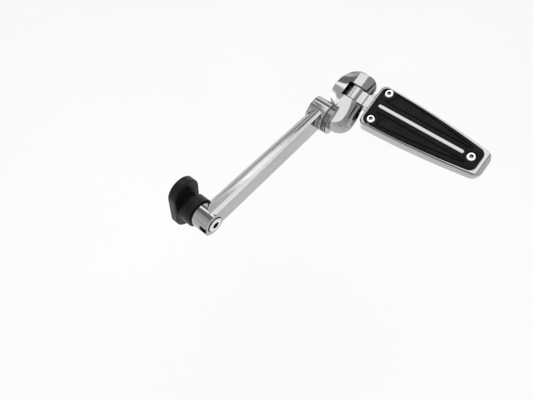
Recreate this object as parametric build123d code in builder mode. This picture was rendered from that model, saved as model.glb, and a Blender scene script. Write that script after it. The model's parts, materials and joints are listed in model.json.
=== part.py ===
from build123d import *
from math import cos, radians, sin, tan
import os

# Folding highway peg on an adjustable arm, in millimetres.
# X runs outboard along the pivot bolt, Y forward, Z up.
# The origin is the centre of the hub's inboard mounting face.

# Hub that bolts to the motorcycle
flange_thick = 7.0
flange_length = 52.0
flange_width = 27.0
flange_hole_gap = 37.0
flange_hole_r = 3.3
hub_r = 13.0
hub_end_x = 21.0
hub_neck_r = 10.5
hub_neck_length = 4.0
hub_shoulder = 1.2

# Arm
arm_length = 151.5
arm_rise = 6.1
arm_face_x = 37.2
barrel_r = 10.9
barrel_inner_x = 22.0
boss_r = 13.8
boss_length = 17.6
boss_outer_x = 40.4
arm_root_width = 15.2
arm_tip_width = 11.8
arm_root_top = 10.2
arm_tip_top = 11.0
arm_crown = 1.0
arm_shoulder_drop = 0.7
arm_bevel_width = 3.6
arm_bevel_drop = 3.4
arm_foot_bevel = 3.0
arm_root_bottom = -6.4
arm_tip_bottom = -9.8
window_width = 10.0
window_height = 4.9
window_depth = 2.6
window_angle = 153.0
relief_angle = 117.0
relief_far_angle = 121.0
relief_width = 3.6
relief_depth = 2.6

# Screws and washers of the two pivots, M8 socket heads
screw_r = 4.0
head_r = 6.5
head_height = 8.0
hex_across = 6.0
hex_depth = 4.0
head_proud = 1.4
pivot_washer_r = 6.9
pivot_washer_thick = 1.2
counterbore_gap = 0.8
hub_bore_floor = 1.5
screw_tip_gap = 1.1
swivel_screw_length = 34.0
head_sink = 0.5
thrust_washer_thick = 1.0
thrust_washer_r = 10.4
seam_washer_r = 12.9
journal_r = 6.5
stub_r = 7.4
stub_in_clevis = 6.2
spline_count = 18
spline_height = 0.7
stub_wall = 1.5

# Clearances
fit = 0.05
seat_gap = 0.3
slide_gap = 0.2

# Clevis, as seen square to the pad
pad_tilt = 27.9
peg_offset = 30.9
clevis_half_thick = 9.3
clevis_wall_half = 6.2
clevis_bevel_x = 57.6
clevis_brow_half = 4.0
clevis_brow_x = 60.4
clevis_end_half = 1.2
clevis_outer_x = 61.8
clevis_inner_x = 27.0
clevis_flat_start = 42.6
clevis_nose_half = 4.6
nose_top_step = 13.4
crown_fall = 4.6
nose_mid_v = 1.5
bevel_overrun = 1.15
nose_foot_step = 7.0
nose_foot_v = -17.0
clevis_flat_end = 51.2
lug_thick = 12.9
slot_width = 14.2
slot_floor_x = 39.2
lug_corner_r = 6.0
lug_corner_sweep = 74.0
crown_margin = 3.0
crown_round = 2.4
heel_centre_v = -26.5
heel_drop = 8.6
heel_bulge_flat = 4.3
heel_bulge_wall = 2.9
heel_bulge_brow = 2.4
heel_bulge_outer = 2.5
heel_radius_flat = 9.0
heel_radius_wall = 11.2
heel_radius_brow = 12.2
collar_r = 13.5
collar_length = 5.0
collar_grooves = 3
collar_groove = 0.8
collar_groove_depth = 0.6
line_groove_x = 56.3
line_groove_width = 1.6
line_groove_tip = 0.5
line_groove_depth = 2.4
line_groove_upper = 11.0
line_groove_lower = 17.0
line_groove_lean = 2.2
line_groove_inset = 2.0
swivel_bore_depth = 17.5

# Fold joint
pin_x = 48.1
pin_r = 4.0
pin_head_r = 6.0
pin_head_height = 4.5
pin_hex = 5.0
pin_head_sink = 1.0
pin_reach = 20.0
tongue_barrel_r = 8.2
tongue_neck_half = 5.6
tongue_heel_drop = 8.0
spring_washer_thick = 0.8
spring_washer_r = 7.4
detent_ball_r = 2.5
detent_bore_depth = 9.0
detent_wire_r = 0.35
detent_turns = 3

# Peg body, pad and trim
fork_gap = 4.6
body_length = 113.0
body_lead = 9.0
body_root_half = 21.6
body_tip_half = 11.9
body_root_corner = 6.0
body_tip_corner = 8.0
body_bow = 1.9
body_rim_n = 6.2
body_thick = 15.0
body_tip_thick = 10.5
body_end_slope = 3.4
body_end_drop = 5.0
body_end_round = 2.2
body_top_round = 1.8
body_edge_round = 1.6
neck_gap = 0.5
neck_line_x = 60.9
neck_line_width = 1.0
neck_line_depth = 0.7
neck_flare = 10.0
pad_margin = 2.4
pad_end_margin = 6.4
pad_sink = 1.0
pad_thick = 3.4
pad_edge = 0.8
panel_groove = 1.2
panel_groove_depth = 0.7
panel_inner = 5.5
panel_start_step = 10.1
panel_end_step = 16.4
panel_margin = 2.2
panel_corner = 2.0
panel_screw_clear = 7.0
strip_width = 3.4
strip_start_step = 8.4
strip_end_step = 21.2
strip_proud = 0.5
strip_sink = 1.5
strip_margin = 2.6
pad_screw_r = 3.8
pad_screw_shank_r = 2.0
pad_screw_head = 2.2
pad_screw_length = 8.0
pad_screw_hole = 7.2
pad_screw_hex = 3.5
pad_screw_socket = 1.8
pad_screw_proud = 0.6
pad_screw_ring = 0.9
pad_screw_step = 9.8
pad_screw_inset = 7.3
pad_tip_screw_step = 14.6

rise = radians(arm_rise)
tilt = radians(pad_tilt)
along = Vector(0, cos(rise), sin(rise))
boss_axis = along * arm_length
across = Vector(0, cos(tilt), sin(tilt))
normal = Vector(0, -sin(tilt), cos(tilt))
peg_axis = boss_axis + across * peg_offset


def arm_side(x):
    """Plane square to the bolt, with its own x along the arm."""
    return Plane(origin=(x, 0, 0), x_dir=along, z_dir=(1, 0, 0))


def arm_section(distance):
    """Plane across the arm at a distance from the lower pivot."""
    return Plane(origin=along * distance, x_dir=(1, 0, 0), z_dir=-along)


def boss_side(x):
    """Plane square to the bolt at the upper pivot, with its own x across the peg."""
    return Plane(origin=Vector(x, 0, 0) + boss_axis, x_dir=across, z_dir=(1, 0, 0))


def peg_top(height):
    """Plane parallel to the pad, with its own x outboard and y across the peg."""
    return Plane(origin=peg_axis + normal * height, x_dir=(1, 0, 0), z_dir=normal)


def peg_side(offset):
    """Plane square to the fold pin, with its own x outboard and y towards the pad."""
    return Plane(origin=peg_axis + across * offset, x_dir=(1, 0, 0), z_dir=-across)


def peg_end(x):
    """Plane square to the peg's length, with its own x across and y towards the pad."""
    return Plane(origin=Vector(x, 0, 0) + peg_axis, x_dir=across, z_dir=(1, 0, 0))


# Hub
hub_start_x = flange_thick + hub_neck_length
with BuildPart() as hub:
    with BuildSketch(Plane.YZ):
        SlotOverall(flange_length, flange_width, rotation=90)
    extrude(amount=flange_thick)
    chamfer(hub.faces().sort_by(Axis.X)[-1].edges(), length=1.0)
    with BuildSketch(Plane.YZ.offset(flange_thick)):
        Circle(hub_neck_r)
    extrude(amount=hub_neck_length)
    with BuildSketch(Plane.YZ.offset(hub_start_x)):
        Circle(hub_r)
    extrude(amount=hub_end_x - hub_start_x)
    shoulder = hub.edges().filter_by_position(Axis.X, hub_start_x - 0.1, hub_start_x + 0.1)
    chamfer(shoulder.sort_by(SortBy.RADIUS)[-1], length=hub_shoulder)
    journal_end_x = arm_face_x + head_proud - head_height - pivot_washer_thick - seat_gap
    with BuildSketch(Plane.YZ.offset(hub_end_x)):
        Circle(journal_r)
    extrude(amount=journal_end_x - hub_end_x)
    with BuildSketch(Plane.YZ.offset(journal_end_x)):
        Circle(screw_r + fit)
    extrude(amount=-(journal_end_x - hub_bore_floor), mode=Mode.SUBTRACT)
    with BuildSketch(Plane.YZ):
        with GridLocations(0, flange_hole_gap, 1, 2):
            Circle(flange_hole_r)
    extrude(amount=flange_thick, mode=Mode.SUBTRACT)


def ring(plane, outer_r, inner_r, thickness):
    """Flat washer on a plane."""
    with BuildPart() as washer:
        with BuildSketch(plane):
            Circle(outer_r)
            Circle(inner_r, mode=Mode.SUBTRACT)
        extrude(amount=thickness)
    return washer


def cap_screw(plane, top_r, top_height, shank_r, shank_length, socket, socket_depth, edge):
    """Socket screw whose head sits on the plane and whose shank goes below it."""
    with BuildPart() as screw:
        with BuildSketch(plane):
            Circle(top_r)
        extrude(amount=top_height)
        chamfer(screw.faces().sort_by(Axis(plane.origin, plane.z_dir))[-1].edges(), length=edge)
        with BuildSketch(plane):
            Circle(shank_r)
        extrude(amount=-shank_length)
        with BuildSketch(plane.offset(top_height)):
            RegularPolygon(socket / 2, 6, major_radius=False)
        extrude(amount=-socket_depth, mode=Mode.SUBTRACT)
    return screw


# Lower pivot
head_seat_x = arm_face_x + head_proud - head_height
pivot_shank = head_seat_x - hub_bore_floor - screw_tip_gap
counterbore_r = pivot_washer_r + counterbore_gap / 2
pivot_washer = ring(Plane.YZ.offset(head_seat_x - pivot_washer_thick), pivot_washer_r, screw_r + fit,
                    pivot_washer_thick)
pivot_screw = cap_screw(Plane.YZ.offset(head_seat_x), head_r, head_height, screw_r, pivot_shank,
                        hex_across, hex_depth, 0.6)
thrust_washer = ring(Plane.YZ.offset(hub_end_x), thrust_washer_r, journal_r + fit, thrust_washer_thick)


# Arm: barrel at the hub, tapered bar with long facets, boss at the peg
boss_inner_x = boss_outer_x - boss_length
swivel_seat_x = boss_inner_x + head_sink + head_height
root_inner_x = arm_face_x - arm_root_width
tip_inner_x = arm_face_x - arm_tip_width
bar_end = arm_length - boss_r / 2


def arm_profile(inner_x, top, bottom):
    """Cross-section of the bar: flat side, crowned top, bevelled inboard shoulder and foot."""
    shoulder = (inner_x + arm_bevel_width, top - arm_shoulder_drop)
    crest = ((arm_face_x + shoulder[0]) / 2, top - arm_shoulder_drop / 2 + arm_crown)
    with BuildSketch() as profile:
        with BuildLine():
            ThreePointArc((arm_face_x, top), crest, shoulder)
            Polyline(shoulder, (inner_x, shoulder[1] - arm_bevel_drop), (inner_x, bottom + 2),
                     (inner_x + arm_foot_bevel, bottom), (arm_face_x, bottom), (arm_face_x, top))
        make_face()
    return profile.sketch


root_profile = arm_profile(root_inner_x, arm_root_top, arm_root_bottom)
tip_profile = arm_profile(tip_inner_x, arm_tip_top, arm_tip_bottom)
with BuildPart() as arm:
    with BuildSketch(arm_section(0)):
        add(root_profile)
    with BuildSketch(arm_section(bar_end)):
        add(tip_profile)
    loft(ruled=True)
    with BuildSketch(arm_side(barrel_inner_x)):
        Circle(barrel_r)
    extrude(amount=arm_face_x - barrel_inner_x)
    with BuildSketch(boss_side(boss_inner_x)):
        Circle(boss_r)
    extrude(amount=boss_length)
    chamfer(arm.edges().filter_by(GeomType.CIRCLE).sort_by(Axis.X)[-1], length=0.5)
    with BuildSketch(arm_side(barrel_inner_x)):
        Circle(journal_r + fit)
    extrude(amount=arm_face_x - barrel_inner_x, mode=Mode.SUBTRACT)
    with BuildSketch(arm_side(head_seat_x - pivot_washer_thick)):
        Circle(counterbore_r)
    extrude(amount=arm_face_x, mode=Mode.SUBTRACT)
    with BuildSketch(boss_side(boss_inner_x)):
        Circle(stub_r + fit)
    extrude(amount=boss_length, mode=Mode.SUBTRACT)
    with BuildSketch(boss_side(boss_inner_x)):
        Circle(stub_r + stub_wall)
    extrude(amount=head_sink + head_height + pivot_washer_thick, mode=Mode.SUBTRACT)
    window_plane = arm_side(arm_face_x - 0.9).rotated((0, 0, window_angle))
    with BuildSketch(window_plane):
        with Locations((barrel_r, 0)):
            Rectangle(2 * window_depth, window_height)
    extrude(amount=-window_width, mode=Mode.SUBTRACT)
    relief_plane = arm_side(barrel_inner_x).rotated((0, 0, relief_angle))
    relief_far = arm_side(arm_face_x - 1.0).rotated((0, 0, relief_far_angle))
    with BuildSketch(relief_plane):
        with Locations((barrel_r, 0)):
            Rectangle(2 * relief_depth, relief_width)
    with BuildSketch(relief_far):
        with Locations((barrel_r, 0)):
            Rectangle(2 * relief_depth / 3, relief_width / 5)
    loft(mode=Mode.SUBTRACT)


# Upper pivot
stub_start_x = swivel_seat_x + pivot_washer_thick + seat_gap
clevis_face_x = boss_outer_x + thrust_washer_thick
stub_end_x = clevis_face_x + stub_in_clevis
swivel_washer = ring(boss_side(swivel_seat_x), stub_r + stub_wall - counterbore_gap / 2, screw_r + fit,
                     pivot_washer_thick)
swivel_plane = Plane(origin=boss_side(swivel_seat_x).origin, x_dir=across, z_dir=(-1, 0, 0))
swivel_screw = cap_screw(swivel_plane, head_r, head_height, screw_r, swivel_screw_length - head_height,
                         hex_across, hex_depth, 0.6)
seam_washer = ring(boss_side(boss_outer_x), seam_washer_r, stub_r + fit, thrust_washer_thick)


def spline_profile(root_r, tip_r, width_share):
    """Ring of straight-sided teeth on a circle, in the open sketch."""
    tooth = 2 * 3.14159 * root_r / spline_count * width_share
    Circle(root_r)
    with PolarLocations((root_r + tip_r) / 2, spline_count):
        Rectangle(2 * (tip_r - root_r), tooth)
    Circle(tip_r, mode=Mode.INTERSECT)


spline_root = stub_r - spline_height
with BuildPart() as stub:
    with BuildSketch(boss_side(stub_start_x)):
        Circle(stub_r)
    extrude(amount=clevis_face_x - stub_start_x)
    with BuildSketch(boss_side(clevis_face_x)):
        spline_profile(spline_root, stub_r, 0.5)
    extrude(amount=stub_in_clevis)
    with BuildSketch(boss_side(stub_start_x)):
        Circle(screw_r + fit)
    extrude(amount=stub_in_clevis + clevis_face_x - stub_start_x, mode=Mode.SUBTRACT)


# Clevis: three crossed profiles give the faceted fork
lug_top = slot_width / 2 + lug_thick
clevis_ceiling = lug_top + crown_margin
heel_bottom = -peg_offset - heel_drop
heel_radius = heel_centre_v - heel_bottom
slot_half = slot_width / 2
clevis_reach = 20.0
web_foot_v = nose_foot_v - 3
clevis_cut_x = clevis_inner_x - clevis_reach
nose_top = (clevis_inner_x + nose_top_step, clevis_ceiling)
nose_mid = (clevis_inner_x, nose_mid_v)
nose_end = (clevis_inner_x + nose_foot_step, nose_foot_v)


def heel_curve(x, bulge, radius):
    """Outboard edge of the lower lobe: bows out from the slot, then turns in under the heel."""
    widest = (x + bulge, heel_centre_v)
    TangentArc(widest, (x, -slot_half), tangent=(0, 1))
    CenterArc((x + bulge - radius, heel_centre_v), radius, 0, -90)
    return (x + bulge - radius, heel_centre_v - radius)


def clevis_outline():
    """The fork with its slot, seen square to the pad, at its widest."""
    with BuildLine() as edge:
        foot = heel_curve(clevis_outer_x, heel_bulge_outer, heel_radius)
        corner = CenterArc((clevis_outer_x - lug_corner_r, lug_top - lug_corner_r), lug_corner_r, 0,
                           lug_corner_sweep)
        Polyline((clevis_outer_x, -slot_half), (slot_floor_x, -slot_half), (slot_floor_x, slot_half),
                 (clevis_outer_x, slot_half), corner @ 0)
        crown_end = (clevis_inner_x, lug_top - crown_fall)
        TangentArc(corner @ 1, crown_end, tangent=corner % 1)
        Polyline(crown_end, (clevis_inner_x, nose_foot_v), nose_end, (clevis_face_x, web_foot_v),
                 (clevis_face_x, heel_bottom), foot)
    with BuildSketch() as outline:
        add(edge.line)
        make_face()
    return outline.sketch


def bevel_section(x, bulge, radius):
    """What is cut away outboard of the fork at one height."""
    with BuildLine() as edge:
        foot = heel_curve(x, bulge, radius)
        low = heel_bottom - clevis_reach
        far = clevis_outer_x + clevis_reach
        Polyline((x, -slot_half), (x, clevis_ceiling), (far, clevis_ceiling), (far, low),
                 (clevis_cut_x, low), (clevis_cut_x, foot[1]), foot)
    with BuildSketch() as section:
        add(edge.line)
        make_face()
    return section.sketch


def on_crown(edge):
    """True for the long edges of the crown and its outboard corner."""
    place = peg_top(0).to_local_coords(edge @ 0.5)
    return abs(abs(place.Z) - clevis_half_thick) < 0.01 and place.Y > lug_top - lug_corner_r / 2


fork_outline = clevis_outline()
bevel_sections = [
    (clevis_half_thick, bevel_section(clevis_flat_end, heel_bulge_flat, heel_radius_flat)),
    (clevis_wall_half, bevel_section(clevis_bevel_x, heel_bulge_wall, heel_radius_wall)),
    (clevis_brow_half, bevel_section(clevis_brow_x, heel_bulge_brow, heel_radius_brow)),
    (clevis_end_half, bevel_section(clevis_outer_x, heel_bulge_outer, heel_radius)),
]
with BuildPart() as clevis:
    with BuildSketch(peg_top(-clevis_half_thick)):
        add(fork_outline)
    extrude(amount=2 * clevis_half_thick)
    fillet(clevis.edges().filter_by(on_crown), radius=crown_round)
    # Bowed inboard wall
    with BuildSketch(peg_top(-clevis_half_thick)):
        with BuildLine():
            ThreePointArc(nose_top, nose_mid, nose_end)
            Polyline(nose_end, (clevis_cut_x, nose_foot_v), (clevis_cut_x, clevis_ceiling), nose_top)
        make_face()
    extrude(amount=2 * clevis_half_thick, mode=Mode.SUBTRACT)
    # Outboard bevel and rounded end, the same on both faces
    for side in (1, -1):
        for height, section in bevel_sections:
            with BuildSketch(peg_top(side * height)):
                add(section)
        loft(ruled=True, mode=Mode.SUBTRACT)
    # Inboard bevels: from the straight edge of the flat, past the bowed edge of the wall
    past_height = clevis_half_thick - bevel_overrun * (clevis_half_thick - clevis_nose_half)
    past = [(clevis_flat_start - bevel_overrun * (clevis_flat_start - x), v)
            for x, v in (nose_top, nose_mid, nose_end)]
    for side in (1, -1):
        with BuildSketch(peg_top(side * clevis_half_thick)):
            with BuildLine():
                Polyline((clevis_flat_start, clevis_ceiling), (clevis_flat_start, nose_foot_v),
                         (clevis_flat_start, web_foot_v), (clevis_cut_x, web_foot_v),
                         (clevis_cut_x, clevis_ceiling), close=True)
            make_face()
        with BuildSketch(peg_top(side * past_height)):
            with BuildLine():
                ThreePointArc(*past)
                Polyline(past[2], (clevis_face_x, web_foot_v), (clevis_cut_x, web_foot_v),
                         (clevis_cut_x, clevis_ceiling), past[0])
            make_face()
        loft(ruled=True, mode=Mode.SUBTRACT)
    # Collar that meets the arm's boss, with turned grooves
    with BuildSketch(boss_side(clevis_face_x)):
        Circle(collar_r)
    extrude(amount=collar_length)
    for step in range(collar_grooves):
        groove_x = clevis_face_x + (step + 0.5) * collar_length / collar_grooves - collar_groove / 2
        with BuildSketch(boss_side(groove_x)):
            Circle(collar_r + 1)
            Circle(collar_r - collar_groove_depth, mode=Mode.SUBTRACT)
        extrude(amount=collar_groove, mode=Mode.SUBTRACT)
    # Tapered line grooves beside the outboard bevel, on both faces of both lobes
    for side in (1, -1):
        with BuildSketch(peg_top(side * (clevis_wall_half - line_groove_depth))):
            for lobe, length in ((1, line_groove_upper), (-1, line_groove_lower)):
                start_v = lobe * (slot_half - line_groove_inset)
                tip_v = start_v + lobe * (length + line_groove_inset)
                tip_x = line_groove_x + line_groove_lean
                with BuildLine():
                    Polyline((line_groove_x, start_v), (line_groove_x + line_groove_width, start_v),
                             (tip_x + line_groove_tip, tip_v), (tip_x, tip_v), close=True)
                make_face()
        extrude(amount=side * clevis_half_thick, mode=Mode.SUBTRACT)
    # Room for the arm's boss under the web
    with BuildSketch(boss_side(clevis_inner_x)):
        Circle(boss_r + seat_gap)
    extrude(amount=clevis_face_x - clevis_inner_x, mode=Mode.SUBTRACT)
    # Fold pin hole, blind in the lower lug, with a counterbore in the upper lug
    with BuildSketch(peg_side(clevis_ceiling)):
        with Locations((pin_x, 0)):
            Circle(pin_r + fit)
    extrude(amount=clevis_ceiling + pin_reach + seat_gap, mode=Mode.SUBTRACT)
    with BuildSketch(peg_side(clevis_ceiling)):
        with Locations((pin_x, 0)):
            Circle(pin_head_r + counterbore_gap / 2)
    extrude(amount=clevis_ceiling - lug_top + pin_head_height + pin_head_sink, mode=Mode.SUBTRACT)
    # Splined socket for the stub
    with BuildSketch(boss_side(clevis_face_x)):
        spline_profile(spline_root + fit, stub_r + fit, 0.5 + 2 * fit)
    extrude(amount=stub_in_clevis + seat_gap, mode=Mode.SUBTRACT)
    # Threaded bore for the swivel screw
    with BuildSketch(boss_side(clevis_face_x)):
        Circle(screw_r + fit)
    extrude(amount=swivel_bore_depth, mode=Mode.SUBTRACT)
    # Bore for the detent spring and ball, along the peg behind the slot floor
    with BuildSketch(peg_end(slot_floor_x)):
        Circle(detent_ball_r + fit)
    extrude(amount=-detent_bore_depth, mode=Mode.SUBTRACT)


# Fold pin and its two spring washers
pin_seat = lug_top - pin_head_sink - pin_head_height
pin_plane = Plane(origin=peg_side(pin_seat).from_local_coords((pin_x, 0, 0)), x_dir=(1, 0, 0), z_dir=across)
fold_pin = cap_screw(pin_plane, pin_head_r, pin_head_height, pin_r, pin_seat + pin_reach, pin_hex, 2.8, 0.6)
spring_seat = slot_width / 2 - spring_washer_thick
upper_spring_plane = Plane(origin=peg_side(spring_seat).from_local_coords((pin_x, 0, 0)), x_dir=(1, 0, 0),
                           z_dir=across)
upper_spring = ring(upper_spring_plane, spring_washer_r, pin_r + fit, spring_washer_thick)
lower_spring_plane = Plane(origin=peg_side(-slot_width / 2).from_local_coords((pin_x, 0, 0)),
                           x_dir=(1, 0, 0), z_dir=across)
lower_spring = ring(lower_spring_plane, spring_washer_r, pin_r + fit, spring_washer_thick)

# Detent ball and coil spring
ball_x = pin_x - tongue_barrel_r - seat_gap - detent_ball_r
with BuildPart() as ball:
    with Locations(peg_end(ball_x)):
        Sphere(detent_ball_r)
spring_start_x = slot_floor_x - detent_bore_depth + detent_wire_r
spring_length = ball_x - detent_ball_r - 2 * detent_wire_r - spring_start_x
coil_r = detent_ball_r - detent_wire_r - fit
with BuildPart() as coil:
    with BuildLine():
        turns = Helix(pitch=spring_length / detent_turns, height=spring_length, radius=coil_r,
                      center=peg_end(spring_start_x).origin, direction=(1, 0, 0))
    with BuildSketch(Plane(origin=turns @ 0, z_dir=turns % 0)):
        RegularPolygon(detent_wire_r, 6)
    sweep(is_frenet=True)

# Peg body: tongue, neck and tapered foot plate
tongue_half = spring_seat - seat_gap / 2
body_bottom_n = body_rim_n - body_thick
body_start_x = clevis_outer_x + fork_gap
body_end_x = body_start_x + body_length
panel_start_x = body_start_x + panel_start_step
panel_end_x = body_end_x - panel_end_step
strip_start_x = body_start_x + strip_start_step
strip_end_x = body_end_x - strip_end_step
pad_screw_x = body_start_x + pad_screw_step
pad_screw_spread = body_root_half - pad_screw_inset
pad_tip_screw_x = body_end_x - pad_tip_screw_step


def peg_outline(start_x, end_x, root_half, tip_half, bow, root_corner, tip_corner):
    """Tapered outline with slightly bowed sides and rounded corners."""
    middle = ((start_x + end_x) / 2, (root_half + tip_half) / 2 + bow)
    with BuildSketch() as outline:
        with BuildLine():
            upper = ThreePointArc((start_x, root_half), middle, (end_x, tip_half))
            lower = ThreePointArc((start_x, -root_half), (middle[0], -middle[1]), (end_x, -tip_half))
            Line(upper @ 0, lower @ 0)
            Line(upper @ 1, lower @ 1)
        make_face()
        fillet(outline.vertices().group_by(Axis.X)[0], radius=root_corner)
        fillet(outline.vertices().group_by(Axis.X)[-1], radius=tip_corner)
    return outline.sketch


screw_places = [(pad_screw_x, pad_screw_spread), (pad_screw_x, -pad_screw_spread), (pad_tip_screw_x, 0)]
plate_outline = peg_outline(body_start_x, body_end_x, body_root_half, body_tip_half, body_bow,
                            body_root_corner, body_tip_corner)
seat_outline = peg_outline(body_start_x + pad_margin, body_end_x - pad_end_margin,
                           body_root_half - pad_margin, body_tip_half - pad_margin + 0.4, body_bow,
                           body_root_corner - 1, body_tip_corner - 2)
pad_outline = peg_outline(body_start_x + pad_margin + slide_gap, body_end_x - pad_end_margin - slide_gap,
                          body_root_half - pad_margin - slide_gap,
                          body_tip_half - pad_margin + 0.4 - slide_gap, body_bow,
                          body_root_corner - 1, body_tip_corner - 2)
body_waist_n = body_rim_n - body_end_drop
lead_x = body_start_x - body_lead
# Upper half of the plate: rounded rim, and an end that slopes down
with BuildPart() as upper_plate:
    with BuildSketch(peg_top(body_waist_n)):
        add(plate_outline)
    extrude(amount=body_end_drop)
    fillet(upper_plate.faces().sort_by(Axis((0, 0, 0), normal))[-1].edges(), radius=body_top_round)
    with BuildSketch(peg_side(2 * body_root_half)):
        with BuildLine():
            slope_top = (body_end_x - body_end_slope, body_rim_n)
            slope_foot = (body_end_x, body_waist_n)
            rounded = FilletPolyline((lead_x, body_rim_n), slope_top, slope_foot, radius=body_end_round)
            Polyline(rounded @ 1, (lead_x, body_waist_n), rounded @ 0)
        make_face()
    extrude(amount=4 * body_root_half, mode=Mode.INTERSECT)
with BuildPart() as body:
    with BuildSketch(peg_top(body_bottom_n)):
        add(plate_outline)
    extrude(amount=body_waist_n - body_bottom_n)
    # The underside rises towards the tip
    with BuildSketch(peg_side(2 * body_root_half)):
        with BuildLine():
            far_x = body_end_x + body_lead
            far_n = body_bottom_n + (body_thick - body_tip_thick) * (far_x - lead_x) / (body_end_x - lead_x)
            Polyline((lead_x, body_bottom_n), (far_x, far_n), (far_x, body_waist_n), (lead_x, body_waist_n),
                     close=True)
        make_face()
    extrude(amount=4 * body_root_half, mode=Mode.INTERSECT)
    fillet(body.faces().sort_by(Axis((0, 0, 0), normal))[0].edges(), radius=body_edge_round)
    add(upper_plate.part)
    # Neck and tongue that enter the clevis
    with BuildSketch(peg_side(tongue_half)):
        with BuildLine():
            Polyline((pin_x, tongue_neck_half), (body_start_x + 1, tongue_neck_half),
                     (body_start_x + 1, -tongue_neck_half), (pin_x, -tongue_neck_half), close=True)
        make_face()
        with Locations((pin_x, 0)):
            Circle(tongue_barrel_r)
        with Locations((pin_x, 0)):
            Rectangle(tongue_barrel_r, tongue_heel_drop, align=(Align.MAX, Align.MAX))
    extrude(amount=2 * tongue_half)
    with BuildSketch(peg_end(clevis_outer_x + neck_gap)):
        Rectangle(2 * tongue_half, 2 * tongue_neck_half)
    with BuildSketch(peg_end(body_start_x + 1)):
        Rectangle(2 * tongue_half + neck_flare, body_thick - 5)
    loft()
    with BuildSketch(peg_side(tongue_half)):
        with Locations((pin_x, 0)):
            Circle(pin_r + fit)
    extrude(amount=2 * tongue_half, mode=Mode.SUBTRACT)
    # Line turned into the neck where it leaves the fork
    for side in (1, -1):
        with BuildSketch(peg_side(tongue_half + 1)):
            with Locations((neck_line_x, side * tongue_neck_half)):
                Rectangle(neck_line_width, 2 * neck_line_depth)
        extrude(amount=2 * tongue_half + 2, mode=Mode.SUBTRACT)
    # Seat for the pad
    with BuildSketch(peg_top(body_rim_n - pad_sink)):
        add(seat_outline)
    extrude(amount=pad_sink, mode=Mode.SUBTRACT)
    pad_floor_n = body_rim_n - pad_sink
    with BuildSketch(peg_top(pad_floor_n)):
        with Locations(*screw_places):
            Circle(pad_screw_shank_r + fit)
    extrude(amount=-pad_screw_hole, mode=Mode.SUBTRACT)

# Rubber pad with its strip channel, panel grooves and screw recesses
pad_top_n = pad_floor_n + pad_thick
screw_seat_n = pad_top_n + pad_screw_proud - pad_screw_head
panel_root = body_root_half - pad_margin - panel_margin
panel_tip = body_tip_half - pad_margin - panel_margin
panel_mid = (panel_root + panel_tip) / 2 + body_bow
with BuildSketch() as panel:
    with BuildLine():
        FilletPolyline((panel_start_x, panel_inner), (panel_end_x, panel_inner), (panel_end_x, panel_tip + 1.0),
                       ((panel_start_x + panel_end_x) / 2, panel_mid), (panel_start_x + 5, panel_root + 0.4),
                       (panel_start_x, panel_root + 0.4), close=True, radius=panel_corner)
    make_face()
    with Locations(screw_places[0]):
        Circle(panel_screw_clear, mode=Mode.SUBTRACT)
    offset(amount=-panel_groove, mode=Mode.SUBTRACT)
panel_loop = panel.sketch
with BuildPart() as pad:
    with BuildSketch(peg_top(pad_floor_n)):
        add(pad_outline)
    extrude(amount=pad_thick)
    chamfer(pad.faces().sort_by(Axis((0, 0, 0), normal))[-1].edges(), length=pad_edge)
    with BuildSketch(peg_top(pad_top_n)):
        with Locations(*screw_places):
            Circle(pad_screw_r + pad_screw_ring)
    extrude(amount=-(pad_top_n - screw_seat_n), mode=Mode.SUBTRACT)
    with BuildSketch(peg_top(pad_floor_n)):
        with Locations(*screw_places):
            Circle(pad_screw_shank_r + fit)
    extrude(amount=pad_thick, mode=Mode.SUBTRACT)
    with BuildSketch(peg_top(pad_top_n)):
        with Locations(((strip_start_x + strip_end_x) / 2, 0)):
            SlotOverall(strip_end_x - strip_start_x + 2 * slide_gap, strip_width + 2 * slide_gap)
    extrude(amount=-strip_sink, mode=Mode.SUBTRACT)
    with BuildSketch(peg_top(pad_top_n)):
        add(panel_loop)
        add(mirror(panel_loop, about=Plane.XZ))
    extrude(amount=-panel_groove_depth, mode=Mode.SUBTRACT)

with BuildPart() as strip:
    with BuildSketch(peg_top(pad_top_n - strip_sink)):
        with Locations(((strip_start_x + strip_end_x) / 2, 0)):
            SlotOverall(strip_end_x - strip_start_x, strip_width)
    extrude(amount=strip_sink + strip_proud)
    chamfer(strip.faces().sort_by(Axis((0, 0, 0), normal))[-1].edges(), length=0.3)


def pad_screw(place):
    """Button-head screw that holds the pad."""
    plane = peg_top(screw_seat_n)
    seat = Plane(origin=plane.from_local_coords((place[0], place[1], 0)), x_dir=(1, 0, 0), z_dir=normal)
    return cap_screw(seat, pad_screw_r, pad_screw_head, pad_screw_shank_r, pad_screw_length, pad_screw_hex,
                     pad_screw_socket, 0.7)


pieces = {
    "mount_hub": hub,
    "pivot_thrust_washer": thrust_washer,
    "pivot_washer": pivot_washer,
    "pivot_screw": pivot_screw,
    "arm": arm,
    "clevis": clevis,
    "spline_stub": stub,
    "seam_washer": seam_washer,
    "swivel_washer": swivel_washer,
    "swivel_screw": swivel_screw,
    "fold_pin": fold_pin,
    "upper_spring_washer": upper_spring,
    "lower_spring_washer": lower_spring,
    "detent_ball": ball,
    "detent_spring": coil,
    "peg_body": body,
    "rubber_pad": pad,
    "chrome_strip": strip,
    "pad_screw_front": pad_screw(screw_places[0]),
    "pad_screw_rear": pad_screw(screw_places[1]),
    "pad_screw_tip": pad_screw(screw_places[2]),
}

os.makedirs("parts", exist_ok=True)
for name, piece in pieces.items():
    piece.part.label = name
    export_step(piece.part, f"parts/{name}.step")
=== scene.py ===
import json

import bpy
from mathutils import Matrix, Vector

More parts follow.
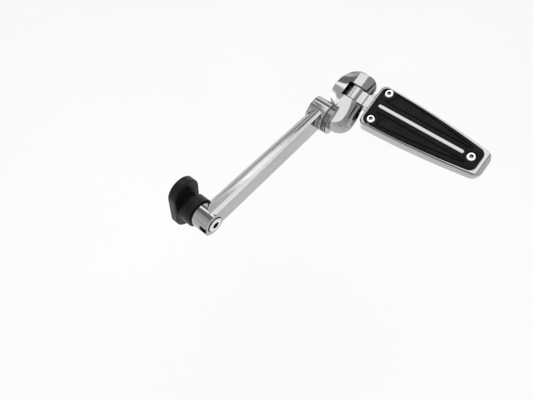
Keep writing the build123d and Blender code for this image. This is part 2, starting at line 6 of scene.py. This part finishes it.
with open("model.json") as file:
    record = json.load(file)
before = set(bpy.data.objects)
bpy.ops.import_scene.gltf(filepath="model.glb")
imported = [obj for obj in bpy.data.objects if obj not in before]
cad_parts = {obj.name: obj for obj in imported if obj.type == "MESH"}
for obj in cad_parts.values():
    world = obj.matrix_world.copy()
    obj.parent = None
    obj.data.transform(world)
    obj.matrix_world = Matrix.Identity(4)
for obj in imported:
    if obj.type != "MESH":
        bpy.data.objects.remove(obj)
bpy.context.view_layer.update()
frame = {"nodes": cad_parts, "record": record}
nodes = frame["nodes"]

# The photograph's camera, solved from the pad's screws and edges
PHOTO_WIDTH = 533.0
FOCAL_LENGTH_IN_PIXELS = 431.1
SENSOR_WIDTH = 36.0
NEAREST_SEEN = 0.01
CAMERA_PLACE = Vector((0.17553, -0.13222, 0.29176))
CAMERA_LOOK = Vector((-0.3387, 0.4926, -0.8016))
CAMERA_RIGHT = Vector((0.766, 0.639, 0.069))

# The studio, in metres
FLOOR_REACH = 40.0
FLOOR_HEIGHT = -0.42
PEG_MIDDLE = (0.06, 0.12, 0.02)
ARM_ROOT = (0.03, 0.022, 0.01)

# Sockets of the Mix node for colours, which share their names with its others
MIX_FACTOR, MIX_FIRST, MIX_SECOND, MIX_RESULT = 0, 6, 7, 2


class Shade:
    """A socket of a node tree, with arithmetic that adds Math nodes."""

    def __init__(self, finish, socket):
        self.finish = finish
        self.socket = socket

    def maths(self, operation, first, second):
        return self.finish.node("ShaderNodeMath", {"operation": operation}, {0: first, 1: second})

    def __add__(self, other):
        return self.maths("ADD", self, other)

    def __radd__(self, other):
        return self.maths("ADD", other, self)

    def __sub__(self, other):
        return self.maths("SUBTRACT", self, other)

    def __rsub__(self, other):
        return self.maths("SUBTRACT", other, self)

    def __mul__(self, other):
        return self.maths("MULTIPLY", self, other)

    def __rmul__(self, other):
        return self.maths("MULTIPLY", other, self)

    def ramp(self, low, high):
        """0 below low, 1 above high, smooth between."""
        return self.finish.node(
            "ShaderNodeMapRange",
            {"interpolation_type": "SMOOTHSTEP"},
            {"Value": self, "From Min": low, "From Max": high},
        )

    def falling(self, low, high):
        """1 below low, 0 above high, smooth between."""
        return 1.0 - self.ramp(low, high)

    def towards(self, target, mask):
        """This shade where mask is 0, target where it is 1."""
        return self + mask * (target - self)


class Finish:
    """A node tree whose nodes all come from node()."""

    def __init__(self, tree):
        self.tree = tree
        tree.nodes.clear()

    def node(self, kind, settings=None, values=None, output=0):
        made = self.tree.nodes.new(kind)
        for name, value in (settings or {}).items():
            setattr(made, name, value)
        for name, value in (values or {}).items():
            socket = made.inputs[name]
            if isinstance(value, Shade):
                self.tree.links.new(value.socket, socket)
            else:
                socket.default_value = value
        if not made.outputs:
            return None
        return Shade(self, made.outputs[output])

    def place(self):
        """Where a point is in the peg's own frame, in metres."""
        return self.node("ShaderNodeTexCoord", output="Object")

    def axes(self, vector):
        """The three numbers of a vector."""
        split = self.node("ShaderNodeSeparateXYZ", None, {"Vector": vector})
        return [Shade(self, socket) for socket in split.socket.node.outputs]

    def noise(self, scale, detail, roughness=0.55, stretch=(1, 1, 1)):
        where = self.node("ShaderNodeMapping", None, {"Vector": self.place(), "Scale": stretch})
        return self.node(
            "ShaderNodeTexNoise",
            None,
            {"Vector": where, "Scale": scale, "Detail": detail, "Roughness": roughness},
        )

    def blend(self, factor, first, second):
        return self.node(
            "ShaderNodeMix",
            {"data_type": "RGBA"},
            {MIX_FACTOR: factor, MIX_FIRST: first, MIX_SECOND: second},
            output=MIX_RESULT,
        )

    def recess(self, reach, open_air=0.80, closed=0.42):
        """1 down in a slot or socket narrower than reach, 0 on open faces; the mask for painted shade in
        recesses.
        """
        settings = {"samples": 16, "only_local": True}
        shelter = self.node("ShaderNodeAmbientOcclusion", settings, {"Distance": reach}, output="AO")
        return shelter.falling(closed, open_air)

    def sharp_edge(self, reach, soft=0.90, flat=0.995):
        """1 along an edge, 0 further from it than reach; the mask for painted dark edge reflections."""
        rounded = self.node("ShaderNodeBevel", {"samples": 6}, {"Radius": reach})
        facing = self.node("ShaderNodeNewGeometry", output="Normal")
        match = self.node(
            "ShaderNodeVectorMath", {"operation": "DOT_PRODUCT"}, {0: rounded, 1: facing}, output="Value"
        )
        return match.falling(soft, flat)

    def bump(self, height, strength, distance):
        return self.node(
            "ShaderNodeBump", None, {"Height": height, "Strength": strength, "Distance": distance}
        )

    def surface(self, values):
        shader = self.node("ShaderNodeBsdfPrincipled", None, values)
        self.node("ShaderNodeOutputMaterial", None, {"Surface": shader})


def new_finish(name):
    material = bpy.data.materials.new(name)
    material.use_nodes = True
    return material, Finish(material.node_tree)


def grey(value, tint=(1.0, 1.0, 1.0)):
    return (value * tint[0], value * tint[1], value * tint[2], 1.0)


# Finishes
def chrome_finish():
    """Polished chrome with faint smears and ripple, with painted shade in its slots and painted dark
    reflections along its edges.
    """
    material, finish = new_finish("polished_chrome")
    smears = finish.noise(scale=38.0, detail=4.0, roughness=0.6)
    dust = finish.noise(scale=900.0, detail=2.0)
    ripple = finish.noise(scale=120.0, detail=1.0)
    smear_mask = smears.ramp(0.42, 0.72)
    clean = grey(0.44, (0.985, 0.995, 1.0))
    smeared = grey(0.40, (0.99, 0.995, 1.0))
    plate = finish.blend(smear_mask, clean, smeared)
    # Painted reflection: a dark line along each sharp edge, laid into the base colour.
    painted_dark_edges = finish.blend(finish.sharp_edge(reach=0.0008) * 0.75, plate, grey(0.08))
    # Painted shade: slots and gaps narrower than the reach go dark in the base colour.
    painted_slot_shade = finish.recess(reach=0.0025, open_air=0.70, closed=0.35)
    finish.surface({
        "Base Color": finish.blend(painted_slot_shade, painted_dark_edges, grey(0.06)),
        "Metallic": 1.0,
        "Roughness": 0.02 + smear_mask * 0.03 + dust * 0.02,
        "Normal": finish.bump(ripple, strength=0.04, distance=0.0004),
    })
    return material


def hub_finish():
    """Satin black powder coat with a fine orange-peel skin."""
    material, finish = new_finish("black_powder_coat")
    peel = finish.noise(scale=1500.0, detail=2.0)
    patches = finish.noise(scale=60.0, detail=3.0)
    finish.surface({
        "Base Color": finish.blend(patches, grey(0.003), grey(0.009)),
        "Roughness": 0.30 + patches * 0.14,
        "Specular IOR Level": 0.22,
        "Normal": finish.bump(peel, strength=0.22, distance=0.0002),
    })
    return material


def rubber_finish():
    """Moulded black rubber with a fine grain and a dusty bloom, and painted shade blackening its
    grooves.
    """
    material, finish = new_finish("moulded_rubber")
    grain = finish.noise(scale=2600.0, detail=2.0, roughness=0.6)
    bloom = finish.noise(scale=90.0, detail=4.0, roughness=0.6)
    lines = finish.noise(scale=300.0, detail=2.0, roughness=0.5, stretch=(0.25, 3.0, 3.0))
    skin = finish.blend(bloom.ramp(0.35, 0.75), grey(0.008), grey(0.015, (1.0, 0.99, 0.98)))
    # Painted shade: the grooves go near black in the base colour.
    painted_groove_shade = finish.recess(reach=0.0015, open_air=0.92, closed=0.50)
    finish.surface({
        "Base Color": finish.blend(painted_groove_shade, skin, grey(0.0008)),
        "Roughness": 0.52 + bloom * 0.16 + lines * 0.06,
        "Specular IOR Level": 0.10,
        "Normal": finish.bump(grain + lines * 0.4, strength=0.35, distance=0.00012),
    })
    return material


def screw_finish():
    """Bright plated screw steel with fine turning marks, and painted shade darkening its socket."""
    material, finish = new_finish("plated_screw")
    marks = finish.noise(scale=1400.0, detail=3.0, roughness=0.6)
    smears = finish.noise(scale=200.0, detail=3.0)
    plate = finish.blend(smears, grey(0.80, (1.0, 0.995, 0.985)), grey(0.70))
    finish.surface({
        # Painted shade: the hex socket goes dark in the base colour.
        "Base Color": finish.blend(finish.recess(reach=0.004), plate, grey(0.05)),
        "Metallic": 1.0,
        "Roughness": 0.10 + marks * 0.08,
        "Normal": finish.bump(marks, strength=0.08, distance=0.0002),
    })
    return material


def steel_finish():
    """Bare turned steel."""
    material, finish = new_finish("turned_steel")
    marks = finish.noise(scale=900.0, detail=3.0, roughness=0.6, stretch=(6.0, 1.0, 1.0))
    stain = finish.noise(scale=120.0, detail=3.0)
    finish.surface({
        "Base Color": finish.blend(stain, grey(0.50), grey(0.36, (1.0, 0.97, 0.93))),
        "Metallic": 1.0,
        "Roughness": 0.26 + marks * 0.18,
        "Normal": finish.bump(marks, strength=0.15, distance=0.0002),
    })
    return material


def washer_finish():
    """Dark acetal washer."""
    material, finish = new_finish("dark_washer")
    grain = finish.noise(scale=1800.0, detail=2.0)
    finish.surface({
        "Base Color": finish.blend(grain, grey(0.004), grey(0.012)),
        "Roughness": 0.42 + grain * 0.12,
        "Normal": finish.bump(grain, strength=0.1, distance=0.0002),
    })
    return material


finishes = {
    "chrome": chrome_finish(),
    "black_hub": hub_finish(),
    "rubber": rubber_finish(),
    "screw_steel": screw_finish(),
    "bare_steel": steel_finish(),
    "dark_washer": washer_finish(),
}
for part in frame["record"]["subparts"]:
    for slot in nodes[part["node"]].material_slots:
        slot.material = finishes[part["material_slot"]]


# Floor, light and camera
def stage_floor():
    mesh = bpy.data.meshes.new("studio_floor")
    corners = [
        (-FLOOR_REACH, -FLOOR_REACH, FLOOR_HEIGHT),
        (FLOOR_REACH, -FLOOR_REACH, FLOOR_HEIGHT),
        (FLOOR_REACH, FLOOR_REACH, FLOOR_HEIGHT),
        (-FLOOR_REACH, FLOOR_REACH, FLOOR_HEIGHT),
    ]
    mesh.from_pydata(corners, [], [(0, 1, 2, 3)])
    floor = bpy.data.objects.new("studio_floor", mesh)
    bpy.context.collection.objects.link(floor)
    material, finish = new_finish("studio_floor")
    mottle = finish.noise(scale=2.0, detail=2.0)
    finish.surface({
        "Base Color": finish.blend(mottle, grey(0.87), grey(0.90)),
        "Roughness": 0.9,
    })
    mesh.materials.append(material)


def soft_box(name, middle, bearing, distance, width, height, watts, shown_in_chrome=True):
    """Area light that stands off from middle along bearing and faces it."""
    light = bpy.data.lights.new(name, "AREA")
    light.shape = "RECTANGLE"
    light.size = width
    light.size_y = height
    light.energy = watts
    lamp = bpy.data.objects.new(name, light)
    direction = Vector(bearing).normalized()
    side = (Vector((1, 0, 0)) - direction * direction.x).normalized()
    crosswise = direction.cross(side)
    turn = Matrix((side, crosswise, direction)).transposed().to_4x4()
    lamp.matrix_world = Matrix.Translation(Vector(middle) + direction * distance) @ turn
    lamp.visible_glossy = shown_in_chrome
    lamp.visible_camera = False
    bpy.context.collection.objects.link(lamp)


# What the chrome mirrors, each patch laid over those before it. A patch has its light level,
# and along an axis of the direction seen, where it fades in and where it fades out again.
# An axis runs from -1 to 1, and None is a side without an edge.
STUDIO_PATCHES = (
    # Wall behind the camera, its bright left end, and a black card low in it
    {"level": 0.62, "ahead": (None, (-0.34, -0.16))},
    {"level": 0.85, "right": (None, (-0.36, -0.30)), "ahead": (None, (-0.80, -0.60))},
    {"level": 0.08, "right": ((-0.32, -0.24), (0.20, 0.45)), "ahead": (None, (-0.66, -0.56))},
    # Long window that the arm's top facet and the fork's outline mirror
    {"level": 2.00, "right": ((-0.72, -0.62), (-0.25, -0.10)), "ahead": ((0.29, 0.34), (0.39, 0.43))},
    # Dark left side: beside the boss, before the window and past it
    {"level": 0.28, "right": ((-0.60, -0.52), (-0.36, -0.33)), "ahead": ((-0.42, -0.26), (0.10, 0.13))},
    {"level": 0.30, "right": (None, (-0.36, -0.33)), "ahead": ((0.10, 0.13), (0.25, 0.32)),
     "upward": ((0.20, 0.30), None)},
    {"level": 0.30, "right": ((-0.60, -0.52), (-0.31, -0.28)), "ahead": ((0.43, 0.47), (0.66, 0.90))},
    # Far left: grey wall, narrow window, grey pillar and the window beyond it
    {"level": 0.58, "right": (None, (-0.66, -0.60)), "ahead": ((0.41, 0.50), None)},
    {"level": 2.00, "right": (None, (-0.66, -0.60)), "ahead": ((0.05, 0.065), (0.10, 0.115)),
     "upward": ((0.20, 0.30), None)},
    {"level": 0.72, "right": (None, (-0.66, -0.60)), "ahead": ((-0.25, -0.15), (0.04, 0.055))},
    {"level": 1.90, "right": (None, (-0.84, -0.80)), "ahead": ((-0.30, -0.20), (0.08, 0.10)),
     "upward": ((0.30, 0.37), (0.52, 0.58))},
    # Plain pale ring above the floor, which is the backdrop of the side views
    {"level": 0.78, "upward": (None, (0.18, 0.26))},
)


def patch_mask(axes, patch):
    """1 inside a patch, 0 outside it."""
    edges = []
    for name, axis in axes.items():
        fade_in, fade_out = patch.get(name, (None, None))
        if fade_in:
            edges.append(axis.ramp(*fade_in))
        if fade_out:
            edges.append(axis.falling(*fade_out))
    mask = edges[0]
    for edge in edges[1:]:
        mask = mask * edge
    return mask


def studio_world():
    """A soft white ceiling, a grey wall on the right, and the patches above."""
    world = bpy.data.worlds.new("studio")
    world.use_nodes = True
    bpy.context.scene.world = world
    finish = Finish(world.node_tree)
    direction = finish.node("ShaderNodeTexCoord", output="Generated")
    right, ahead, upward = finish.axes(direction)

    ceiling = right.ramp(-0.98, -0.45)
    zenith = upward.ramp(0.86, 0.97)
    level = 0.62 + ceiling * 0.86 + zenith * 0.22
    right_wall = 0.50 + upward.falling(0.36, 0.56) * 0.40
    level = level.towards(right_wall, right.ramp(0.34, 0.50))
    axes = {"right": right, "ahead": ahead, "upward": upward}
    for patch in STUDIO_PATCHES:
        level = level.towards(patch["level"], patch_mask(axes, patch))

    background = finish.node("ShaderNodeBackground", None, {"Color": grey(1.0), "Strength": level})
    finish.node("ShaderNodeOutputWorld", None, {"Surface": background})


def photo_camera():
    """The camera at the photograph's place and angle."""
    data = bpy.data.cameras.new("camera")
    data.sensor_fit = "HORIZONTAL"
    data.sensor_width = SENSOR_WIDTH
    data.lens = FOCAL_LENGTH_IN_PIXELS * SENSOR_WIDTH / PHOTO_WIDTH
    data.clip_start = NEAREST_SEEN
    camera = bpy.data.objects.new("camera", data)
    look = CAMERA_LOOK.normalized()
    right = (CAMERA_RIGHT - look * CAMERA_RIGHT.dot(look)).normalized()
    up = right.cross(look)
    turn = Matrix((right, up, -look)).transposed().to_4x4()
    camera.matrix_world = Matrix.Translation(CAMERA_PLACE) @ turn
    bpy.context.collection.objects.link(camera)
    bpy.context.scene.camera = camera


stage_floor()
studio_world()
soft_box(
    "arm_box", middle=ARM_ROOT, bearing=(-0.68, 0.21, 0.71), distance=0.40,
    width=0.34, height=0.12, watts=0.08,
)
soft_box(
    "fill", middle=PEG_MIDDLE, bearing=(0.0, 0.0, 1.0), distance=2.6,
    width=3.0, height=3.0, watts=24.0, shown_in_chrome=False,
)
photo_camera()
bpy.context.scene.view_settings.view_transform = "Standard"
